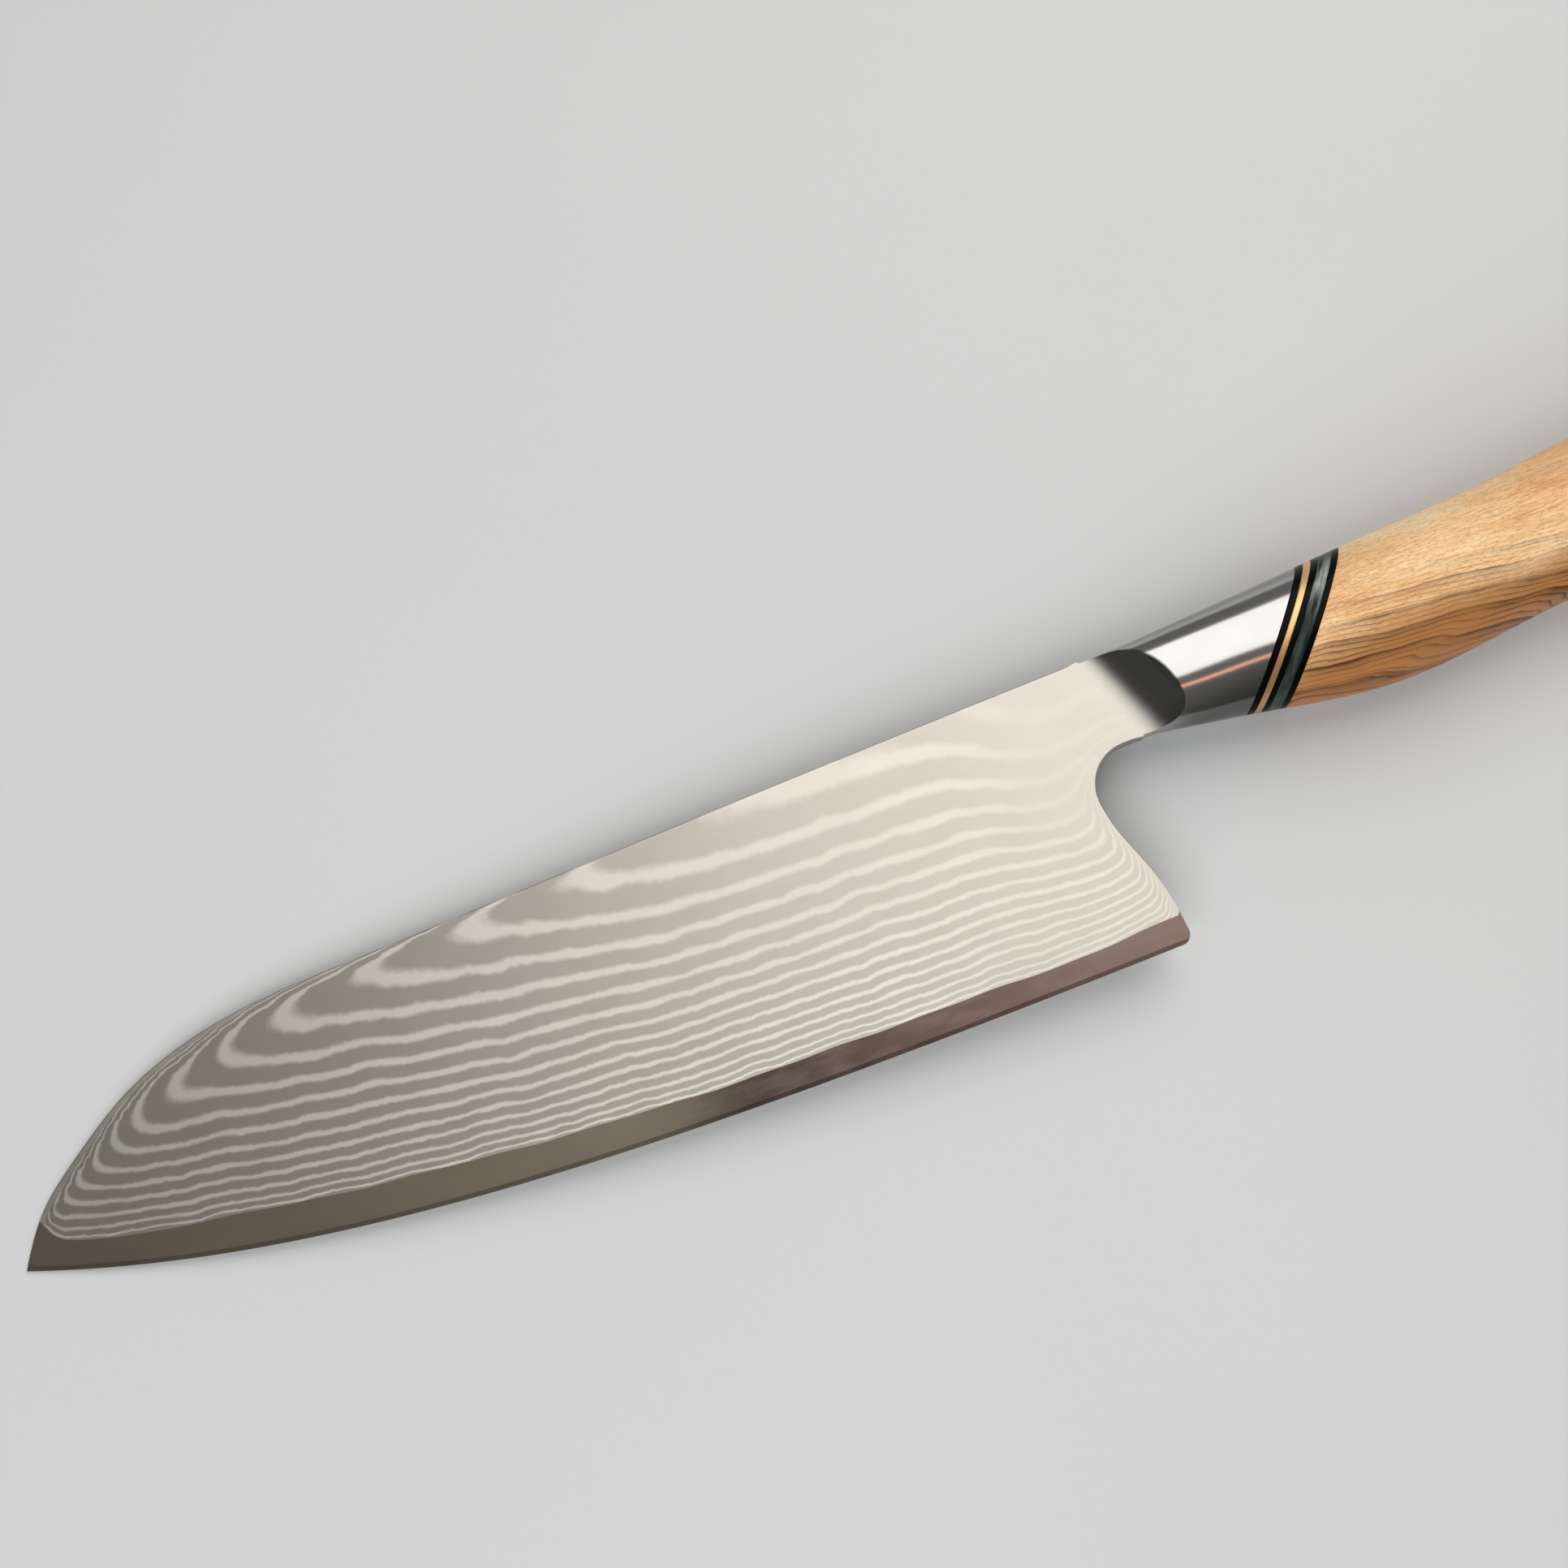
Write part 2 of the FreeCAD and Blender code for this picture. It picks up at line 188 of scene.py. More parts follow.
GRIP_SHARES = np.linspace(0.002, 1, 170)
SCOOP_SHARES = np.linspace(0, 1, 30)
BOLSTER_SHARES = np.append(np.linspace(0, 1, 60)[1:-1], 0.999)
SPACER_SHARES = (0.03, 0.25, 0.5, 0.75, 0.97)
CHAMFER_ANGLES = np.radians((30, 60, 90))
BUTT_SHARES = (0.85, 0.6, 0.35, 0.12)       # each of the one before
IN_SCOOP = 0.02             # points this close to the scoop's surface count as in it
SETTLING_STEPS = 60         # enough for a ring to settle on its slanted plane
FACING_LIMIT = 0.2          # cosine; a facet only cuts points that face it more than this
FAR = 99.0                  # farther out than any surface of the handle


# --- Frame -----------------------------------------------------------------------------
def knife_matrix():
    """From the knife's straight frame in millimetres to the row frame in metres."""
    slot = MOUNTS["blade_slot"]
    along = Vector(slot["axis"])
    left = Vector(MOUNTS["magnet_side"]["axis"])
    up = left.cross(along)
    middle = SLOT_MIDDLE
    origin = Vector(slot["pos_m"]) - along * middle[0] * MM - up * middle[1] * MM
    columns = [along * MM, up * MM, left * MM, origin]
    return Matrix([[column[row] for column in columns] for row in range(3)] + [[0, 0, 0, 1]])


KNIFE = np.array(knife_matrix())


def to_row(points):
    return np.asarray(points, float) @ KNIFE[:3, :3].T + KNIFE[:3, 3]


# --- Curves ----------------------------------------------------------------------------
def natural_spline(knots, values):
    """Smooth cubic curve through values at knots, straight at both ends."""
    knots = np.asarray(knots, float)
    values = np.asarray(values, float)
    count = len(knots)
    gap = np.diff(knots)
    slope = np.diff(values) / gap
    matrix = np.eye(count)
    right = np.zeros(count)
    for i in range(1, count - 1):
        matrix[i, i - 1:i + 2] = gap[i - 1], 2 * (gap[i - 1] + gap[i]), gap[i]
        right[i] = 6 * (slope[i] - slope[i - 1])
    bend = np.linalg.solve(matrix, right)

    def value(t):
        t = np.asarray(t, float)
        i = np.clip(np.searchsorted(knots, t) - 1, 0, count - 2)
        width = gap[i]
        a = (knots[i + 1] - t) / width
        b = 1 - a
        curve = ((a ** 3 - a) * bend[i] + (b ** 3 - b) * bend[i + 1]) * width ** 2 / 6
        return a * values[i] + b * values[i + 1] + curve

    return value


def table_curve(table):
    return natural_spline(*np.array(table).T)


def curve_through(points, step):
    """Points about step apart on a smooth curve through the given points."""
    points = np.array(points, float)
    chords = np.concatenate([[0], np.cumsum(np.hypot(*np.diff(points, axis=0).T))])
    t = np.linspace(0, chords[-1], int(chords[-1] / step) + 1)
    return np.column_stack([natural_spline(chords, points[:, k])(t) for k in (0, 1)])


def circle_arc(centre, radius, first, last, step):
    """Points on a circular arc, angles in degrees."""
    count = max(3, int(math.radians(abs(last - first)) * radius / step) + 1)
    angles = np.radians(np.linspace(first, last, count))
    return np.array(centre) + radius * np.column_stack([np.cos(angles), np.sin(angles)])


def straight(start, end, step):
    return np.linspace(start, end, max(2, int(math.dist(start, end) / step) + 1))


def smooth_step(low, high, x):
    t = np.clip((x - low) / (high - low), 0, 1)
    return t * t * (3 - 2 * t)


def distance_to(x, y, line):
    """Shortest distance from each point to a polyline."""
    points = np.column_stack([x, y])
    best = np.full(len(points), np.inf)
    for a, b in zip(line[:-1], line[1:]):
        along = b - a
        t = np.clip(((points - a) @ along) / (along @ along), 0, 1)
        best = np.minimum(best, np.hypot(*(points - a - t[:, None] * along).T))
    return best


# --- Blade shape -----------------------------------------------------------------------
def edge_y(x):
    return (TIP_Y + EDGE_SINK) * np.exp(-np.asarray(x, float) / EDGE_DECAY) - EDGE_SINK


def blade_half(x, y):
    """Half the blade's thickness."""
    above = np.clip(y - edge_y(x), 0, None)
    rise = above - BEVEL_HEIGHT
    to_tip = (WELD_TOP[0] - x) / WELD_TOP[0]
    hollow = GRIND_HOLLOW + TAPER_HOLLOW * to_tip ** 2
    cheek = BEVEL_HALF + GRIND_SLOPE * rise * (1 - hollow * rise)
    return np.minimum(cheek, above * BEVEL_HALF / BEVEL_HEIGHT)


def blade_outline(step):
    """Closed outline in named runs, anticlockwise seen from the left: edge first."""
    corner_x = HEEL_X - HEEL_CORNER
    corner_y = edge_y(corner_x) + HEEL_CORNER
    edge_x = np.linspace(0, corner_x, int(HEEL_X / step) + 1)
    notch_middle = (NOTCH[0] + NOTCH_RADIUS, NOTCH[1])
    notch_end = (notch_middle[0], NOTCH[1] + NOTCH_RADIUS)
    parts = [
        circle_arc((corner_x, corner_y), HEEL_CORNER, -90, 0, step / 3),
        curve_through([(HEEL_X, corner_y)] + HEEL_BACK + [NOTCH], step),
        circle_arc(notch_middle, NOTCH_RADIUS, 180, 90, step / 2),
        straight(notch_end, WELD_LOW, step),
    ]
    return {
        "edge": np.column_stack([edge_x, edge_y(edge_x)]),
        "back": np.concatenate([parts[0]] + [part[1:] for part in parts[1:]]),
        "weld": straight(WELD_LOW, WELD_TOP, step),
        "spine": curve_through(SPINE_POINTS, step)[::-1],
    }


# --- Layer pattern ---------------------------------------------------------------------
OUTLINE = blade_outline(MESH_STEP)
CORE_HEIGHT = table_curve(CORE_BAND)
TURNING_LAYER = table_curve(TURNS)


def fading(start, distance):
    """An amount that dies away over a reach, given as (amount, reach)."""
    amount, reach = start
    return amount * np.exp(-distance / reach)


def core_y(x):
    """Top of the band of bare core steel; it swings up to the spine at the tip."""
    x = np.asarray(x, float)
    rise = fading((CORE_TIP_RISE, CORE_TIP_REACH), np.clip(x - CORE_TIP_X, 0, None))
    ripple = sum(height * np.sin(x / length + shift) for height, length, shift in CORE_RIPPLES)
    return edge_y(x) + CORE_HEIGHT(x) + rise + ripple * smooth_step(*RIPPLE_RUN, x)


def layer_number(x, y):
    """Layer at each place of the ground face; whole numbers are the light lines.

    The lines follow the core, farther apart higher up, turn back along the spine near the
    tip and swing up along the back of the heel.
    """
    along = smooth_step(*TIP_TO_HEEL, x)
    most = LAYERS_TIP + (LAYERS_HEEL - LAYERS_TIP) * along
    depth = DEPTH_TIP + (DEPTH_HEEL - DEPTH_TIP) * along
    above = (y - core_y(x)) * (1 + HEEL_CROWDING * smooth_step(*HEEL_RUN, x))
    from_core = most - fading((most, depth), above) - fading(FIRST_LAYER, above)

    spine_gap = distance_to(x, y, OUTLINE["spine"])
    tip_hug = fading(TIP_HUG, spine_gap) * (1 - smooth_step(*TIP_HUG_END, x))
    middle = smooth_step(*MIDDLE_HUG_START, x) * (1 - smooth_step(*MIDDLE_HUG_END, x))
    middle_hug = fading(MIDDLE_HUG, spine_gap) * middle
    from_spine = TURNING_LAYER(x) + SPINE_SLOPE * spine_gap - tip_hug - middle_hug

    lower = np.exp(-TURN_SHARPNESS * from_core) + np.exp(-TURN_SHARPNESS * from_spine)
    number = -np.log(lower) / TURN_SHARPNESS
    back_gap = distance_to(x, y, OUTLINE["back"])
    return number - sum(fading(swing, back_gap) for swing in BACK_SWINGS)


def pattern_values(x, y):
    """What the cladding's material reads at each point of the mesh."""
    number = layer_number(x, y)
    slope_x = (layer_number(x + SLOPE_STEP, y) - number) / SLOPE_STEP
    slope_y = (layer_number(x, y - SLOPE_STEP) - number) / SLOPE_STEP
    slope = np.hypot(slope_x, slope_y)
    # The fading toward the heel and next to the bolster is painted highlight.
    upper = np.maximum(smooth_step(*FADE_LOW_TOP, y), smooth_step(*FADE_EVEN_RUN, x))
    fade = FADE * smooth_step(*FADE_RUN, x) * (FADE_LOW + (1 - FADE_LOW) * upper)
    neck = NECK_FADE * smooth_step(*NECK_RUN, x) * smooth_step(*NECK_RISE, y)
    at_back = smooth_step(*BACK_FADE, distance_to(x, y, OUTLINE["back"]))
    contrast = (1 - fade) * (1 - neck) * at_back
    return {"layer": number, "wander": WANDER * slope ** WANDER_POWER, "contrast": contrast}


# --- Mesh helpers ----------------------------------------------------------------------
def make_object(name, points, faces, material, smooth_angle, extra=None):
    """Mesh object from points in the knife's frame, which it keeps as an attribute."""
    mesh = bpy.data.meshes.new(name)
    mesh.from_pydata(to_row(points).tolist(), [], faces)
    place = mesh.attributes.new("knife_mm", "FLOAT_VECTOR", "POINT")
    place.data.foreach_set("vector", np.asarray(points, np.float32).ravel())
    for key, values in (extra or {}).items():
        attribute = mesh.attributes.new(key, "FLOAT", "POINT")
        attribute.data.foreach_set("value", np.asarray(values, np.float32))
    mesh.validate()
    mesh.materials.append(material)
    mesh.shade_smooth()
    mesh.set_sharp_from_angle(angle=math.radians(smooth_angle))
    obj = bpy.data.objects.new(name, mesh)
    bpy.context.scene.collection.objects.link(obj)
    return obj


def stand_for(obj, node):
    """The piece takes the place of a CAD node."""
    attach(obj, "root")
    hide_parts(node)


def ring_mesh(rings, closed=False):
    """Quads between rings of equal size; open ends are closed with a fan."""
    count = len(rings[0])
    points = np.concatenate(rings)
    faces = []
    pairs = list(zip(range(len(rings) - 1), range(1, len(rings))))
    if closed:
        pairs.append((len(rings) - 1, 0))
    for a, b in pairs:
        for i in range(count):
            j = (i + 1) % count
            faces.append((a * count + i, a * count + j, b * count + j, b * count + i))
    if not closed:
        centres = [rings[0].mean(0), rings[-1].mean(0)]
        points = np.concatenate([points, centres])
        front, back = len(points) - 2, len(points) - 1
        last = (len(rings) - 1) * count
        for i in range(count):
            j = (i + 1) % count
            faces.append((front, j, i))
            faces.append((back, last + i, last + j))
    return points, faces


# --- Blade meshes ----------------------------------------------------------------------
def inward(line, distance):
    """A run of the outline moved to its left by a distance."""
    way = np.gradient(line, axis=0)
    way /= np.hypot(*way.T)[:, None]
    return line + np.column_stack([-way[:, 1], way[:, 0]]) * distance


def points_inside(points, outline):
    """True for each point inside the closed outline."""
    inside = np.zeros(len(points), bool)
    x, y = points.T
    for (ax, ay), (bx, by) in zip(outline, np.roll(outline, -1, axis=0)):
        if ay != by:
            crosses = (ay > y) != (by > y)
            inside ^= crosses & (x < (bx - ax) * (y - ay) / (by - ay) + ax)
    return inside


def fill_outline(outline, inner_lines):
    """Triangles over a closed outline with an even spread of points inside."""
    low, high = outline.min(0), outline.max(0)
    points = [Vector(p) for p in outline]
    edges = [(i, (i + 1) % len(outline)) for i in range(len(outline))]
    for line in inner_lines:
        start = len(points)
        points += [Vector(p) for p in line]
        edges += [(start + i, start + i + 1) for i in range(len(line) - 1)]
    fixed = np.concatenate([outline] + inner_lines)
    row_gap = MESH_STEP * math.sqrt(0.75)
    for row in range(int((high[1] - low[1]) / row_gap) + 2):
        x = np.arange(low[0] + (row % 2) * MESH_STEP / 2, high[0], MESH_STEP)
        spots = np.column_stack([x, np.full(len(x), low[1] + row * row_gap)])
        gaps = spots[:, None, :] - fixed[None, :, :]
        free = np.hypot(gaps[..., 0], gaps[..., 1]).min(1) > MESH_STEP * CLEARANCE
        points += [Vector(p) for p in spots[free]]
    spread, _, triangles, *_ = delaunay_2d_cdt(points, edges, [], 1, MERGE_DISTANCE)
    spread = np.array(spread)
    triangles = np.array(triangles)
    triangles = triangles[points_inside(spread[triangles].mean(1), outline)]
    used, renumbered = np.unique(triangles, return_inverse=True)
    return spread[used], renumbered.reshape(-1, 3)


def rim_of(faces):
    """Edges that only one face uses, in that face's direction."""
    edges = {(a, b) for face in faces for a, b in zip(face, np.roll(face, -1))}
    return [(a, b) for a, b in edges if (b, a) not in edges]


def slab(flat, faces, front, back):
    """Closed solid between two heights over the same flat triangles."""
    count = len(flat)
    points = np.concatenate([np.column_stack([flat, front]), np.column_stack([flat, back])])
    solid = faces.tolist() + (faces[:, ::-1] + count).tolist()
    solid += [(b, a, a + count, b + count) for a, b in rim_of(faces.tolist())]
    if front[0] < back[0]:
        solid = [face[::-1] for face in solid]
    return points, solid


def ease_height(distance):
    """How much of the thickness is left this far inside an eased edge."""
    part = 1 - np.clip(distance, 0, EDGE_ROUND) / EDGE_ROUND
    return EASE_LEFT + (1 - EASE_LEFT) * np.sqrt(np.clip(1 - part ** 2, 0, 1))


def eased_lines(cladding, core_line):
    """Lines just inside the spine and the back, where the eased edge needs points."""
    lines = []
    for run in (OUTLINE["back"], OUTLINE["spine"]):
        for depth in EASE_DEPTHS:
            line = inward(run, depth)
            clear = points_inside(line, cladding)
            clear &= distance_to(*line.T, core_line) > CORE_CLEAR
            clear &= distance_to(*line.T, OUTLINE["weld"]) > WELD_CLEAR
            clear &= distance_to(*line.T, run) > depth * RUN_CLEAR
            lines.append(line[clear])
    return lines


def build_blade(cladding_material, core_material):
    whole = np.concatenate([run[:-1] for run in OUTLINE.values()])
    line_x = np.linspace(0, HEEL_X, CORE_LINE_POINTS)
    core_line = np.column_stack([line_x, core_y(line_x)])
    core_line = core_line[points_inside(core_line, whole)]
    rim = np.concatenate([OUTLINE["back"], OUTLINE["weld"][1:], OUTLINE["spine"][1:]])
    above = rim[:, 1] > core_y(rim[:, 0]) + RIM_CLEAR
    cladding = np.concatenate([core_line, rim[above & (rim[:, 0] > CORE_TIP_X)]])

    flat, faces = fill_outline(cladding, eased_lines(cladding, core_line))
    x, y = flat.T
    inner = np.minimum(blade_half(x, y), blade_half(x, core_y(x)))
    ease = np.minimum(distance_to(x, y, OUTLINE["back"]), distance_to(x, y, OUTLINE["spine"]))
    ease = ease + EDGE_ROUND * (1 - smooth_step(*EASE_END, distance_to(x, y, OUTLINE["weld"])))
    outer = inner + (blade_half(x, y) - inner) * ease_height(ease)
    values = {key: np.tile(value, 2) for key, value in pattern_values(x, y).items()}
    for side, sign in (("left", 1), ("right", -1)):
        points, solid = slab(flat, faces, sign * outer, sign * inner)
        name = "cladding_" + side
        obj = make_object("blade_" + name, points, solid, cladding_material, 35.0, values)
        stand_for(obj, name)

    bevel_x = np.linspace(BEVEL_START, HEEL_X - HEEL_CORNER, BEVEL_POINTS)
    bevel = np.column_stack([bevel_x, edge_y(bevel_x) + BEVEL_HEIGHT])
    flat, faces = fill_outline(whole, [bevel, core_line[1:-1]])
    x, y = flat.T
    half = np.minimum(blade_half(x, y), blade_half(x, core_y(x)))
    points, solid = slab(flat, faces, half, -half)
    obj = make_object("blade_core_steel", points, solid, core_material, 5.0)
    stand_for(obj, "blade_core")


# --- Handle shape ----------------------------------------------------------------------
TOP = natural_spline(STATIONS[:, 0], STATIONS[:, 1])
BOTTOM = natural_spline(STATIONS[:, 0], STATIONS[:, 2])
HALF = natural_spline(STATIONS[:, 0], STATIONS[:, 3])
ANGLES = np.linspace(0, 2 * math.pi, AROUND, endpoint=False)


def handle_point(x, angle):
    """Surface of the handle: angle 0 is the left side, 90 degrees the spine side."""
    x = x + 0 * angle
    middle = (TOP(x) + BOTTOM(x)) / 2
    tall = (TOP(x) - BOTTOM(x)) / 2
    oval = 1 / np.hypot(np.sin(angle) / tall, np.cos(angle) / HALF(x))
    behind = (x - AXIS_POINT[0]) / math.cos(AXIS_RISE)
    offset = AXIS_POINT[1] + (x - AXIS_POINT[0]) * math.tan(AXIS_RISE) - middle
    total = 1.0
    for turn, (distance, waist, bend) in enumerate(FACETS):
        facing = turn * math.pi / 4
        depth = distance + (behind - waist) ** 2 / (2 * bend)
        cosine = np.cos(angle - facing)
        reach = (depth + offset * math.sin(facing)) / np.clip(cosine, FACING_LIMIT, None)
        reach = np.where(cosine > FACING_LIMIT, reach, FAR)
        total = total + np.exp(-FACET_SHARPNESS * (reach - oval))
    radius = oval - np.log(total) / FACET_SHARPNESS - HANDLE_INSET
    return np.stack([x, middle + radius * np.sin(angle), radius * np.cos(angle)], -1)


def joint_ring(offset):
    """Where the handle's surface meets a slanted joint plane."""
    start = JOINT[0] + offset / math.cos(JOINT_SLANT)
    x = np.full(AROUND, start)
    for _ in range(SETTLING_STEPS):
        y = handle_point(x, ANGLES)[:, 1]
        x = 0.5 * x + 0.5 * (start + math.tan(JOINT_SLANT) * (y - JOINT[1]))
    return handle_point(x, ANGLES)


def bore_offsets():
    """Upward and sideways reach of the rectangular tang hole at each angle."""
    reach = np.minimum(
        BORE_HALF_HEIGHT / np.maximum(np.abs(np.sin(ANGLES)), 1e-6),
        BORE_HALF_THICKNESS / np.maximum(np.abs(np.cos(ANGLES)), 1e-6),
    )
    return reach * np.sin(ANGLES), reach * np.cos(ANGLES)


def bore_middle_y(x):
    run = (x - BORE_FRONT[0]) / (BORE_BACK[0] - BORE_FRONT[0])
    return BORE_FRONT[1] + run * (BORE_BACK[1] - BORE_FRONT[1])


def bore_ring(x):
    up, side = bore_offsets()
    return np.column_stack([np.full(AROUND, x), bore_middle_y(x) + up, side])


def bore_joint_ring(offset):
    """The tang hole's outline on a slanted joint plane."""
    up, side = bore_offsets()
    start = JOINT[0] + offset / math.cos(JOINT_SLANT)
    x = np.full(AROUND, start)
    for _ in range(SETTLING_STEPS):
        x = start + math.tan(JOINT_SLANT) * (bore_middle_y(x) + up - JOINT[1])
    return np.column_stack([x, bore_middle_y(x) + up, side])


def between(front, back, share):
    """Handle ring part of the way between two rings."""
    return handle_point(front[:, 0] + share * (back[:, 0] - front[:, 0]), ANGLES)


def eased_joint_ring(offset):
    """The joint ring, slightly smaller on the same plane."""
    ring = joint_ring(offset)
    middle = bore_joint_ring(offset).mean(0)
    reach = np.linalg.norm(ring - middle, axis=1)[:, None]
    return middle + (ring - middle) * (1 - JOINT_GROOVE / reach)


def build_spacers(materials):
    """The five slanted discs; returns how far behind the joint the wood starts."""
    offset = 0.0
    for node, thickness, slot in SPACERS:
        end = offset + thickness
        front, back = joint_ring(offset), joint_ring(end)
        rings = [eased_joint_ring(offset)]
        rings += [between(front, back, share) for share in SPACER_SHARES]
        rings += [eased_joint_ring(end), bore_joint_ring(end), bore_joint_ring(offset)]
        points, faces = ring_mesh(rings, closed=True)
        stand_for(make_object(node + "_disc", points, faces, materials[slot], 50.0), node)
        offset = end
    return offset


def butt_ring(back_off):
    """Handle ring on a plane square to the rear axis, this far ahead of the butt."""
    butt_x = AXIS_POINT[0] + BUTT_DISTANCE * math.cos(AXIS_RISE)
    butt_y = AXIS_POINT[1] + BUTT_DISTANCE * math.sin(AXIS_RISE)
    x = np.full(AROUND, butt_x)
    for _ in range(SETTLING_STEPS):
        y = handle_point(x, ANGLES)[:, 1]
        x = butt_x - back_off - math.tan(AXIS_RISE) * (y - butt_y)
    return handle_point(x, ANGLES)


def build_grip(material, offset):
    front = joint_ring(offset)
    last = butt_ring(BUTT_CHAMFER)
    cap = butt_ring(0.0)
    centre = cap.mean(0)
    rings = [eased_joint_ring(offset)]
    rings += [between(front, last, share) for share in GRIP_SHARES]
    reach = np.linalg.norm(cap - centre, axis=1)[:, None]
    for angle in CHAMFER_ANGLES:
        inset = BUTT_CHAMFER * (1 - np.cos(angle))
        ahead = BUTT_CHAMFER * (1 - np.sin(angle))
        rings.append(centre + (cap - centre) * (1 - inset / reach) - np.array([ahead, 0, 0]))
    for share in BUTT_SHARES:
        rings.append(centre + (rings[-1] - centre) * share)
    rings = rings[::-1] + [bore_joint_ring(offset)]
    rings += [bore_ring(x) for x in BORE_RINGS]
    points, faces = ring_mesh(rings)
    faces = [face[::-1] for face in faces]
    obj = make_object("carved_grip", points, faces, material, 60.0)
    stand_for(obj, "handle_grip")


def weld_x(y):
    share = (WELD_TOP[1] - y) / (WELD_TOP[1] - WELD_LOW[1])
    return WELD_TOP[0] + share * (WELD_LOW[0] - WELD_TOP[0])


def scoop_height(x, y):
    """Height of the scoop's hollow above the blade's middle plane."""
    top, low = np.array(WELD_TOP), np.array(WELD_LOW)
    length = np.linalg.norm(low - top)
    way = (low - top) / length
    behind = (x - top[0]) * -way[1] + (y - top[1]) * way[0]
    part = np.clip(((x - top[0]) * way[0] + (y - top[1]) * way[1]) / length, 0, 1)
    cheek = (1 - part) * blade_half(*top) + part * blade_half(*low)
    inside = np.clip(behind, 0, SCOOP_END)
    height = cheek + SCOOP_RADIUS - np.sqrt(SCOOP_RADIUS ** 2 - inside ** 2)
    return np.where(behind < SCOOP_END, height, FAR)


def scooped_ring(x):
    ring = handle_point(x, ANGLES)
    limit = scoop_height(ring[:, 0], ring[:, 1])
    ring[:, 2] = np.clip(ring[:, 2], -limit, limit)
    return ring


def scoop_end_x(front_x):
    """Where each line along the handle leaves the scoop."""
    steps = np.linspace(0, SCOOP_REACH, SCOOP_STEPS)
    leave_x = front_x + SCOOP_SHORTEST
    for i, angle in enumerate(ANGLES):
        body = handle_point(front_x[i] + steps, np.full(len(steps), angle))
        cut = np.abs(body[:, 2]) > scoop_height(body[:, 0], body[:, 1])
        if cut.any():
            leave_x[i] = max(leave_x[i], body[np.flatnonzero(cut)[-1], 0])
    return leave_x


def build_bolster(material):
    front_x = np.full(AROUND, WELD_TOP[0])
    for _ in range(SETTLING_STEPS):
        front_x = weld_x(handle_point(front_x, ANGLES)[:, 1])
    leave_x = scoop_end_x(front_x)
    back_x = joint_ring(0.0)[:, 0]
    rings = [scooped_ring(front_x + share * (leave_x - front_x)) for share in SCOOP_SHARES]
    for share in BOLSTER_SHARES:
        rings.append(handle_point(leave_x + share * (back_x - leave_x), ANGLES))
    rings += [eased_joint_ring(0.0), bore_joint_ring(0.0)]
    rings += [bore_ring(x) for x in BOLSTER_BORE_RINGS]
    points, faces = ring_mesh(rings)
    limit = scoop_height(points[:, 0], points[:, 1])
    in_scoop = np.abs(points[:, 2]) > limit - IN_SCOOP
    values = {
        "from_weld": points[:, 0] - weld_x(points[:, 1]),
        "up_scoop": np.where(in_scoop, np.abs(points[:, 2]) - blade_half(*WELD_TOP), 0.0),
    }
    obj = make_object("scooped_bolster", points, faces, material, 38.0, values)
    stand_for(obj, "bolster")


# --- Materials -------------------------------------------------------------------------
def rgb(red, green, blue):
    return (red, green, blue, 1.0)


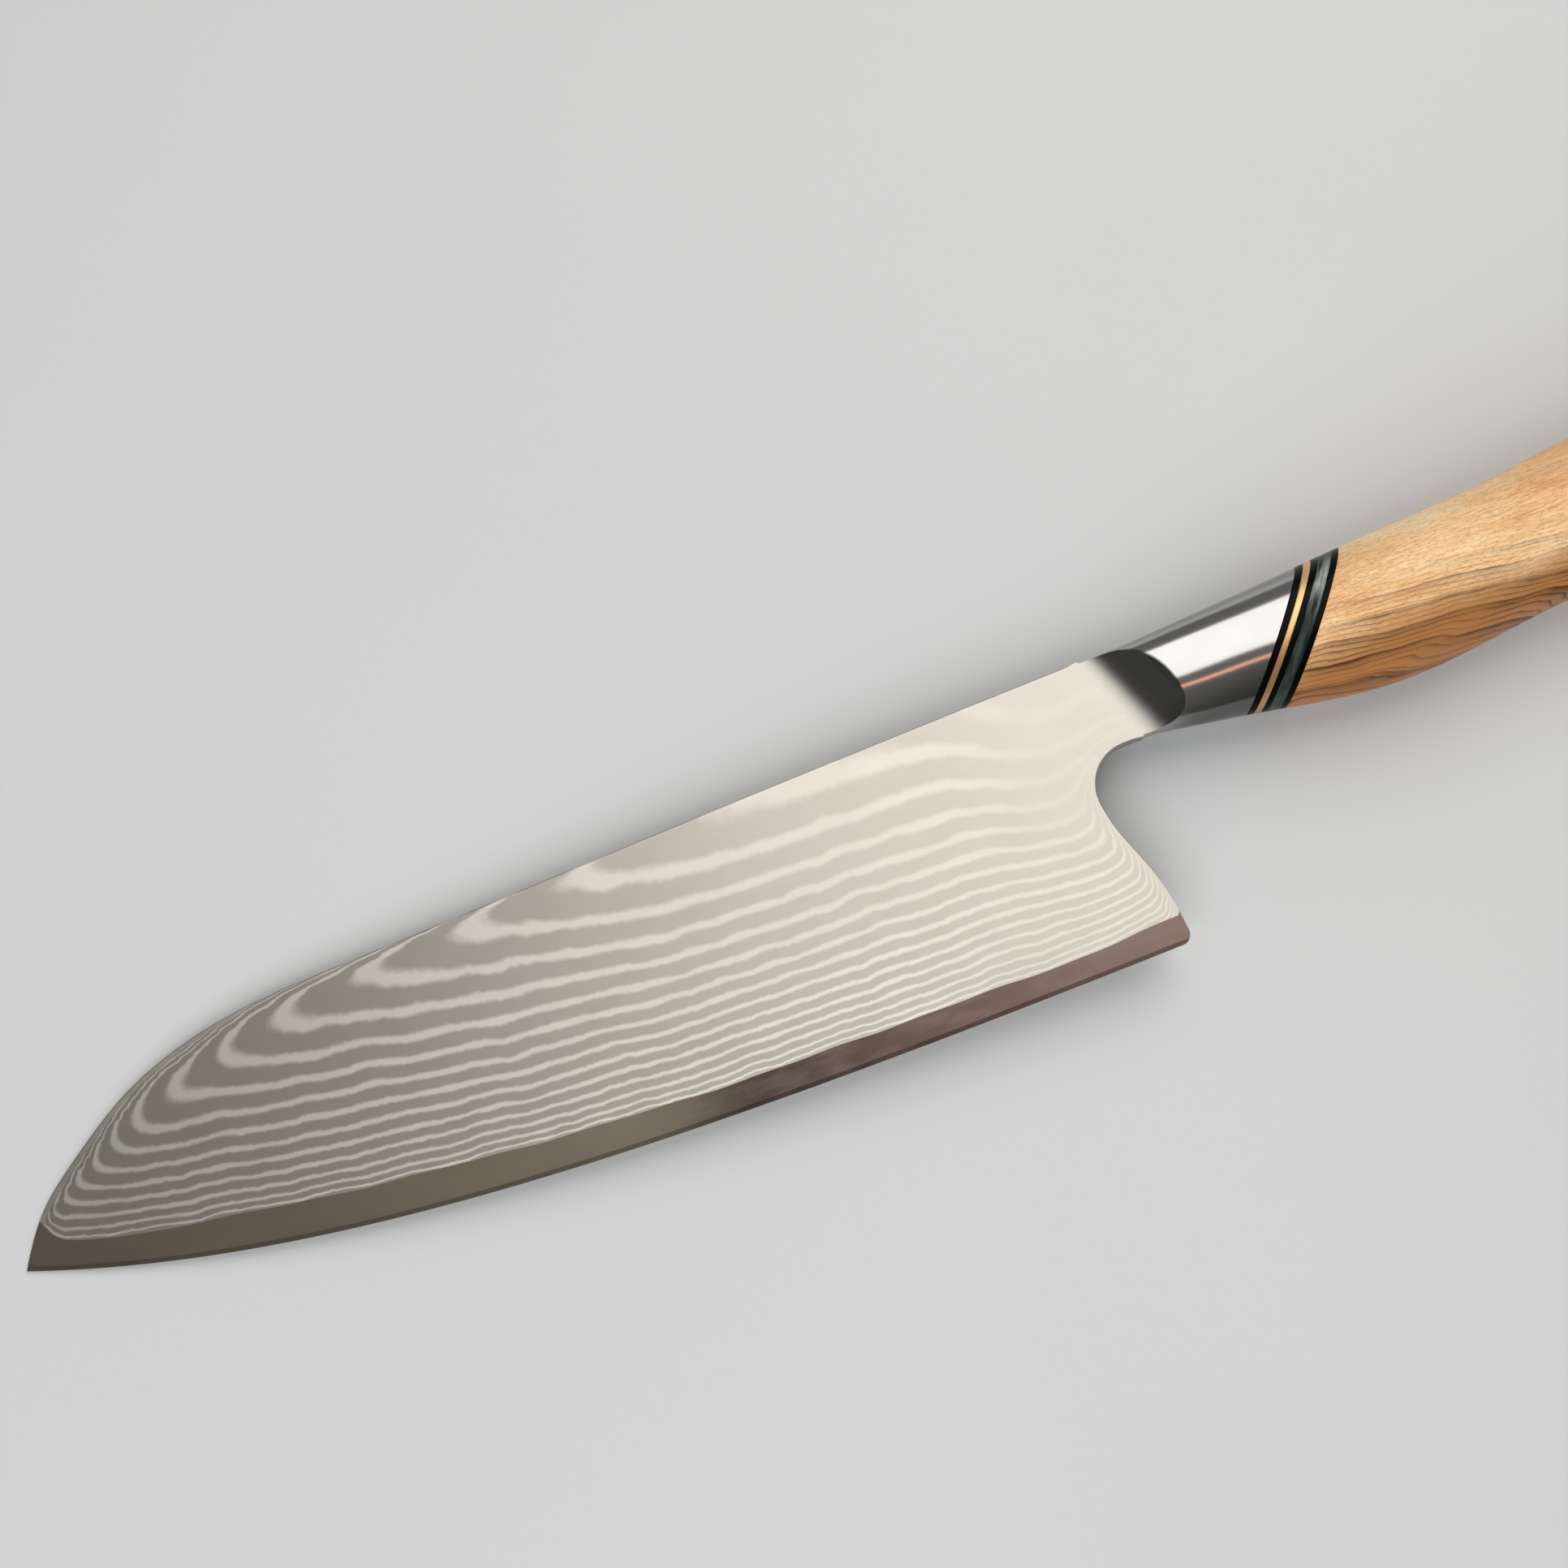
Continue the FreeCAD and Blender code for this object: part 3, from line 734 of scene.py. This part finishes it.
class Shader:
    """Small helper for writing node trees."""

    def __init__(self, name):
        self.material = bpy.data.materials.new(name)
        self.material.use_nodes = True
        self.tree = self.material.node_tree
        self.surface = self.tree.nodes["Principled BSDF"]

    def feed(self, socket, value):
        if hasattr(value, "is_output"):
            self.tree.links.new(value, socket)
        else:
            socket.default_value = value

    def node(self, kind, settings=None, **inputs):
        made = self.tree.nodes.new(kind)
        for key, value in (settings or {}).items():
            setattr(made, key, value)
        for key, value in inputs.items():
            self.feed(made.inputs[key.replace("_", " ")], value)
        return made

    def math(self, operation, *values):
        made = self.node("ShaderNodeMath", {"operation": operation})
        for socket, value in zip(made.inputs, values):
            self.feed(socket, value)
        return made.outputs[0]

    def place(self, scale=(1, 1, 1), shift=(0, 0, 0)):
        """Knife position in millimetres, stretched."""
        source = self.node("ShaderNodeAttribute", {"attribute_name": "knife_mm"})
        mapped = self.node(
            "ShaderNodeMapping", Vector=source.outputs["Vector"], Scale=scale, Location=shift)
        return mapped.outputs[0]

    def axes(self):
        """Knife position in millimetres as three numbers: along, up and left."""
        return self.node("ShaderNodeSeparateXYZ", Vector=self.place()).outputs

    def object_place(self):
        """Position in metres in the object's own frame."""
        return self.node("ShaderNodeTexCoord").outputs["Object"]

    def value(self, name):
        return self.node("ShaderNodeAttribute", {"attribute_name": name}).outputs["Fac"]

    def noise(self, vector, detail=3.0, rough=0.5, scale=1.0):
        made = self.node(
            "ShaderNodeTexNoise", Vector=vector, Scale=scale, Detail=detail, Roughness=rough)
        return made.outputs["Fac"]

    def spread(self, value, low, high, to_low=0.0, to_high=1.0, smooth=False):
        """Value moved from one range to another."""
        made = self.node(
            "ShaderNodeMapRange", {"interpolation_type": "SMOOTHSTEP" if smooth else "LINEAR"})
        for socket, number in zip(made.inputs, (value, low, high, to_low, to_high)):
            self.feed(socket, number)
        return made.outputs[0]

    def total(self, *terms):
        """Sum of values, each times its weight."""
        result = None
        for value, weight in terms:
            weighted = self.math("MULTIPLY", value, weight)
            result = weighted if result is None else self.math("ADD", result, weighted)
        return result

    def mix(self, share, first, second):
        """Blend of two colours; the numbers are the node's colour sockets."""
        made = self.node("ShaderNodeMix", {"data_type": "RGBA"})
        for socket, value in ((0, share), (6, first), (7, second)):
            self.feed(made.inputs[socket], value)
        return made.outputs[2]

    def ramp(self, value, stops):
        made = self.node("ShaderNodeValToRGB", Fac=value)
        bar = made.color_ramp
        while len(bar.elements) < len(stops):
            bar.elements.new(0.5)
        for element, (position, colour) in zip(bar.elements, stops):
            element.position = position
            element.color = colour
        return made.outputs["Color"]

    def bump(self, height, strength, distance):
        made = self.node("ShaderNodeBump", Height=height, Strength=strength, Distance=distance)
        self.feed(self.surface.inputs["Normal"], made.outputs[0])

    def set(self, **inputs):
        for key, value in inputs.items():
            self.feed(self.surface.inputs[key.replace("_", " ")], value)


def centred(s, vector):
    """Noise that swings evenly about nought."""
    return s.math("SUBTRACT", s.noise(vector, 2.0), 0.5)


def cladding_steel():
    """Satin stainless with the wavy lines of its forged layers."""
    s = Shader("layered_satin_steel")
    wander = s.total(
        (centred(s, s.place((0.085, 0.045, 0.0))), 3.6),
        (centred(s, s.place((0.27, 0.12, 0.0), (5, 2, 0))), 1.7),
        (centred(s, s.place((1.0, 0.45, 0.0), (1, 7, 0))), 0.75),
    )
    moved = s.math("MULTIPLY", wander, s.value("wander"))
    count = s.math("ADD", s.value("layer"), moved)
    part = s.math("FRACT", s.math("ADD", count, 0.5))
    off_line = s.math("ABSOLUTE", s.math("SUBTRACT", part, 0.5))
    uneven = s.math("MULTIPLY", centred(s, s.place((0.16, 0.22, 0.0), (9, 4, 0))), 0.22)
    off_line = s.math("ADD", off_line, uneven)
    light = s.spread(off_line, 0.06, 0.27, 1.0, 0.0, smooth=True)
    # Painted highlight: where the contrast fades, the dark lines are lifted toward the light
    # steel.
    contrast = s.value("contrast")
    painted_highlight_lift = s.spread(contrast, 0.0, 1.0, 0.29, 0.0)
    light = s.math("ADD", s.math("MULTIPLY", light, contrast), painted_highlight_lift)
    grain = s.noise(s.place((0.6, 7.0, 7.0)), 4.0, 0.65)
    tint = s.noise(s.place((0.12, 0.25, 0.0), (3, 3, 0)), 2.0)
    dark_steel = s.mix(tint, rgb(0.385, 0.370, 0.322), rgb(0.435, 0.395, 0.350))
    light_steel = s.mix(tint, rgb(0.76, 0.74, 0.665), rgb(0.82, 0.775, 0.71))
    s.set(Base_Color=s.mix(light, dark_steel, light_steel), Metallic=1.0)
    s.set(Roughness=s.spread(grain, 0, 1, 0.38, 0.46))
    s.bump(s.total((light, 0.4), (grain, 0.5)), strength=0.10, distance=0.00005)
    return s.material


def core_steel():
    """Satin core steel: olive toward the tip, blotchy rose-brown toward the heel."""
    s = Shader("core_steel_satin")
    grain = s.noise(s.place((0.5, 9.0, 9.0)), 4.0, 0.6)
    cloud = s.noise(s.place((0.06, 0.22, 0.22)), 2.0)
    olive = s.mix(cloud, rgb(0.200, 0.183, 0.134), rgb(0.260, 0.228, 0.178))
    x = s.axes()[0]
    near_heel = s.spread(x, 108.0, 178.0, 0.0, 1.0)
    rose = s.mix(near_heel, rgb(0.066, 0.045, 0.037), rgb(0.205, 0.140, 0.120))
    blotch = s.noise(s.place((0.13, 0.4, 0.4), (2, 0, 0)), 3.0)
    rose = s.mix(s.spread(blotch, 0.42, 0.62, 0.0, 0.4), rose, rgb(0.235, 0.170, 0.170))
    brown = s.mix(s.spread(x, 85.0, 112.0, smooth=True), olive, rose)
    grainy = s.mix(s.math("MULTIPLY", grain, 0.25), brown, rgb(0.24, 0.20, 0.16))
    s.set(Base_Color=grainy, Metallic=1.0)
    s.set(Roughness=s.spread(grain, 0, 1, 0.40, 0.52))
    s.bump(grain, strength=0.08, distance=0.00005)
    return s.material


def bolster_steel():
    """Polished steel, satin by the weld; painted shade darkens it underneath, on top and up the
    scoop.
    """
    s = Shader("bolster_polished_steel")
    lines = s.noise(s.place((0.35, 7.0, 7.0)), 5.0, 0.6)
    smudge = s.noise(s.place((0.15, 0.3, 0.3)), 3.0)
    satin = s.spread(s.value("from_weld"), 0.0, 9.0, 1.0, 0.0, smooth=True)
    polished = s.mix(smudge, rgb(0.425, 0.42, 0.41), rgb(0.48, 0.475, 0.46))
    body = s.mix(satin, polished, rgb(0.535, 0.515, 0.465))
    y = s.axes()[1]
    # Painted shade: the polished steel is darkened low on the sides and along the top.
    low = s.spread(y, 32.5, 38.0, 0.85, 0.0, smooth=True)
    top = s.spread(y, 48.0, 49.4, 0.0, 0.60, smooth=True)
    shade = s.math("MULTIPLY", s.math("ADD", low, top), s.math("SUBTRACT", 1.0, satin))
    body = s.mix(shade, body, rgb(0.09, 0.09, 0.09))
    # Painted shade: the steel is darkened up the scoop's hollow.
    painted_scoop_shade = s.spread(s.value("up_scoop"), 0.0, 0.8, 0.0, 0.70, smooth=True)
    body = s.mix(painted_scoop_shade, body, rgb(0.06, 0.06, 0.06))
    # Painted dark reflection: a near-black line high up the scoop, along its crescent edge.
    rim = s.spread(s.value("up_scoop"), 3.4, 5.0, 0.0, 0.7, smooth=True)
    s.set(Base_Color=s.mix(rim, body, rgb(0.01, 0.01, 0.01)), Metallic=1.0)
    s.set(Roughness=s.total((satin, 0.29), (s.spread(lines, 0, 1, 0.11, 0.19), 1.0)))
    s.bump(lines, strength=0.05, distance=0.00004)
    return s.material


def laminate(name, dark, light, shine):
    """Polished fibre laminate: a streak along the joint, high on the sides, partly painted
    highlight.
    """
    s = Shader(name)
    x, y, z = s.axes()
    sine, cosine = math.sin(JOINT_SLANT), math.cos(JOINT_SLANT)
    across, along = 1.1, 0.13
    fibre = s.node(
        "ShaderNodeCombineXYZ",
        X=s.total((x, across * cosine), (y, -across * sine)),
        Y=s.total((x, along * sine), (y, along * cosine)),
        Z=s.math("MULTIPLY", z, along),
    )
    streak = s.noise(fibre.outputs[0], 4.0, 0.6)
    # Painted highlight: the light streaks show only in the band where the window mirrors.
    rising = s.spread(y, 39.0, 45.0, 0.10, 1.0, smooth=True)
    falling = s.spread(y, 46.5, 50.5, 1.0, 0.15, smooth=True)
    share = s.math("MULTIPLY", s.spread(streak, 0.36, 0.62), s.math("MULTIPLY", rising, falling))
    s.set(Base_Color=s.mix(share, dark, light), Roughness=s.spread(streak, 0, 1, 0.16, 0.30))
    s.set(Specular_IOR_Level=shine)
    s.bump(streak, strength=0.04, distance=0.00005)
    return s.material


def brass():
    """Satin brass, with painted shade making it darker and redder low on the sides."""
    s = Shader("brass_satin")
    lines = s.noise(s.place((3.0, 3.0, 0.6)), 4.0, 0.6)
    y = s.axes()[1]
    gold = s.mix(lines, rgb(0.72, 0.44, 0.18), rgb(0.86, 0.60, 0.30))
    # Painted shade: darker, redder brass low on the sides.
    low = s.spread(y, 30.0, 44.0, 0.85, 0.0, smooth=True)
    s.set(Base_Color=s.mix(low, gold, rgb(0.60, 0.30, 0.14)))
    s.set(Metallic=0.85, Roughness=s.spread(lines, 0, 1, 0.36, 0.50))
    s.bump(lines, strength=0.06, distance=0.00005)
    return s.material


def wood():
    """Oiled light wood: fine flecks, darker growth lines low on the sides, and painted shade low
    down.
    """
    s = Shader("oiled_wood")
    x, y, z = s.axes()
    bend = s.noise(s.place((0.018, 0.06, 0.06)), 2.0)
    sway = s.noise(s.place((0.06, 0.22, 0.22)), 2.0)
    rings = s.total((x, 0.15), (y, 1.0), (z, 0.30), (bend, 5.0), (sway, 2.2))
    broad = s.math("POWER", s.math("FRACT", s.math("MULTIPLY", rings, 0.31)), 2.4)
    thin = s.math("POWER", s.math("FRACT", s.math("MULTIPLY", rings, 1.13)), 4.5)
    present = s.spread(s.noise(s.place((0.035, 0.16, 0.16), (4, 0, 0)), 2.0), 0.34, 0.58)
    low = s.spread(y, 31.0, 43.0, 1.0, 0.06, smooth=True)
    dark = s.math("MULTIPLY", s.total((broad, 1.0), (thin, 1.1)), low)
    dark = s.math("MULTIPLY", dark, s.spread(present, 0, 1, 0.30, 1.0))
    fibre = s.noise(s.place((0.20, 3.2, 3.2)), 5.0, 0.65)
    fleck = s.noise(s.place((0.9, 3.8, 3.8)), 2.0, 0.6)
    patch = s.noise(s.place((0.03, 0.12, 0.12), (7, 0, 0)), 2.0)
    body = s.ramp(s.total((fibre, 0.5), (patch, 0.5)), [
        (0.36, rgb(0.68, 0.320, 0.110)),
        (0.50, rgb(0.92, 0.560, 0.260)),
        (0.62, rgb(0.98, 0.740, 0.440)),
    ])
    # Painted shade: the lower side of the grip is darkened to deep brown.
    painted_low_shade = s.spread(y, 30.5, 38.0, 0.93, 0.0, smooth=True)
    body = s.mix(painted_low_shade, body, rgb(0.375, 0.140, 0.028))
    pores = s.spread(fleck, 0.52, 0.62, 0.0, 0.42, smooth=True)
    body = s.mix(pores, body, rgb(0.42, 0.175, 0.060))
    body = s.mix(dark, body, rgb(0.080, 0.027, 0.007))
    s.set(Base_Color=body, Roughness=s.spread(fibre, 0.3, 0.7, 0.50, 0.38))
    s.set(Specular_IOR_Level=0.4)
    s.bump(s.total((fibre, 0.5), (pores, -0.8)), strength=0.25, distance=0.00012)
    return s.material


def tang_steel():
    s = Shader("tang_ground_steel")
    mapped = s.node("ShaderNodeMapping", Vector=s.object_place(), Scale=(300, 4000, 4000))
    lines = s.noise(mapped.outputs[0], 3.0)
    s.set(Base_Color=s.mix(lines, rgb(0.40, 0.40, 0.40), rgb(0.52, 0.52, 0.52)))
    s.set(Metallic=1.0, Roughness=s.spread(lines, 0, 1, 0.3, 0.5))
    return s.material


def epoxy():
    s = Shader("cured_epoxy")
    cloud = s.noise(s.object_place(), 3.0, scale=400.0)
    s.set(Base_Color=s.mix(cloud, rgb(0.42, 0.33, 0.18), rgb(0.60, 0.50, 0.30)))
    s.set(Roughness=s.spread(cloud, 0, 1, 0.25, 0.45))
    return s.material


def floor_material():
    s = Shader("pale_floor")
    cloud = s.noise(s.object_place(), 2.0, scale=6.0)
    s.set(Base_Color=s.mix(cloud, rgb(0.60, 0.60, 0.60), rgb(0.64, 0.64, 0.635)))
    s.set(Roughness=s.spread(cloud, 0, 1, 0.55, 0.65))
    return s.material


# --- Stage, light and camera -----------------------------------------------------------
CAMERA_PLACE = (65.96, -61.37, 325.68)
CAMERA_RIGHT = (0.91660, -0.39667, 0.04998)
CAMERA_FORWARD = (0.18699, 0.31485, -0.93054)
CAMERA_LENS = 50.31
FLOOR_HALF = 3.0
FLOOR_GAP = 0.0002          # the floor lies this far under the lowest point


def build_floor():
    half = FLOOR_HALF
    corners = [(-half, -half, 0), (half, -half, 0), (half, half, 0), (-half, half, 0)]
    mesh = bpy.data.meshes.new("floor")
    mesh.from_pydata(corners, [], [(0, 1, 2, 3)])
    mesh.materials.append(floor_material())
    floor = bpy.data.objects.new("floor", mesh)
    bpy.context.scene.collection.objects.link(floor)
    floor.location.z = CAD_BOX[0][2] - FLOOR_GAP


def area_light(name, target, direction, distance, size, power, colour):
    """Rectangular light this far from a target, its first side along the knife."""
    light = bpy.data.lights.new(name, "AREA")
    light.shape = "RECTANGLE"
    light.size, light.size_y = size
    light.energy = power
    light.color = colour
    lamp = bpy.data.objects.new(name, light)
    way = np.array(direction) / np.linalg.norm(direction)
    side = np.cross(np.cross(way, (1, 0, 0)), way)
    side /= np.linalg.norm(side)
    axes = np.column_stack([side, np.cross(way, side), way])
    place = Matrix.Translation(to_row(np.array(target) + way * distance))
    lamp.matrix_world = place @ Matrix(KNIFE[:3, :3] / MM @ axes).to_4x4()
    bpy.context.scene.collection.objects.link(lamp)
    return lamp


def build_lights():
    area_light(
        "window", target=(190, 35, 0), direction=(0.38, 0.44, 0.80), distance=800,
        size=(0.74, 0.98), power=4.45, colour=(1.0, 0.995, 0.975))
    # The warm light is only there for the copper line it mirrors in the bolster.
    warm = area_light(
        "warm", target=(204, 37.5, 6.5), direction=(0.08, -0.335, 0.94), distance=500,
        size=(0.14, 0.04), power=0.036, colour=(1.0, 0.47, 0.30))
    warm.visible_diffuse = False
    # The fill lifts the shadows, but would show as a white patch in the polished steel.
    fill = area_light(
        "fill", target=(150, 30, 0), direction=(-0.5, -0.6, 0.6), distance=1200,
        size=(0.9, 0.9), power=13.0, colour=(0.96, 0.98, 1.0))
    fill.visible_glossy = False


def build_camera():
    """The camera stands over the front of the blade, on its edge side, and looks down."""
    turn = Matrix(KNIFE[:3, :3] / MM)
    right = Vector(CAMERA_RIGHT)
    forward = Vector(CAMERA_FORWARD)
    axes = Matrix((right, right.cross(forward), -forward)).transposed()
    data = bpy.data.cameras.new("camera")
    data.sensor_width = 36.0
    data.lens = CAMERA_LENS
    data.clip_start = 0.01
    camera = bpy.data.objects.new("camera", data)
    place = Matrix.Translation(to_row(CAMERA_PLACE))
    camera.matrix_world = place @ (turn @ axes).to_4x4()
    bpy.context.scene.collection.objects.link(camera)
    bpy.context.scene.camera = camera


def build_world():
    world = bpy.data.worlds.new("studio")
    bpy.context.scene.world = world
    world.use_nodes = True
    background = world.node_tree.nodes["Background"]
    background.inputs["Color"].default_value = rgb(1.0, 0.99, 0.97)
    background.inputs["Strength"].default_value = 0.20


def main():
    build_blade(cladding_steel(), core_steel())
    build_bolster(bolster_steel())
    start = build_spacers({
        "black_liner": laminate(
            "black_laminate", dark=rgb(0.0015, 0.002, 0.002),
            light=rgb(0.005, 0.007, 0.008), shine=0.04),
        # The slate's light colour is partly painted highlight.
        "slate_spacer": laminate(
            "slate_laminate", dark=rgb(0.006, 0.015, 0.011),
            light=rgb(0.400, 0.420, 0.390), shine=0.08),
        "brass": brass(),
    })
    build_grip(wood(), start)
    for node, material in (("tang", tang_steel()), ("tang_bedding", epoxy())):
        frame["nodes"][node].data.materials.clear()
        frame["nodes"][node].data.materials.append(material)
    build_floor()
    build_lights()
    build_camera()
    build_world()
    bpy.context.scene.view_settings.view_transform = "Standard"


main()
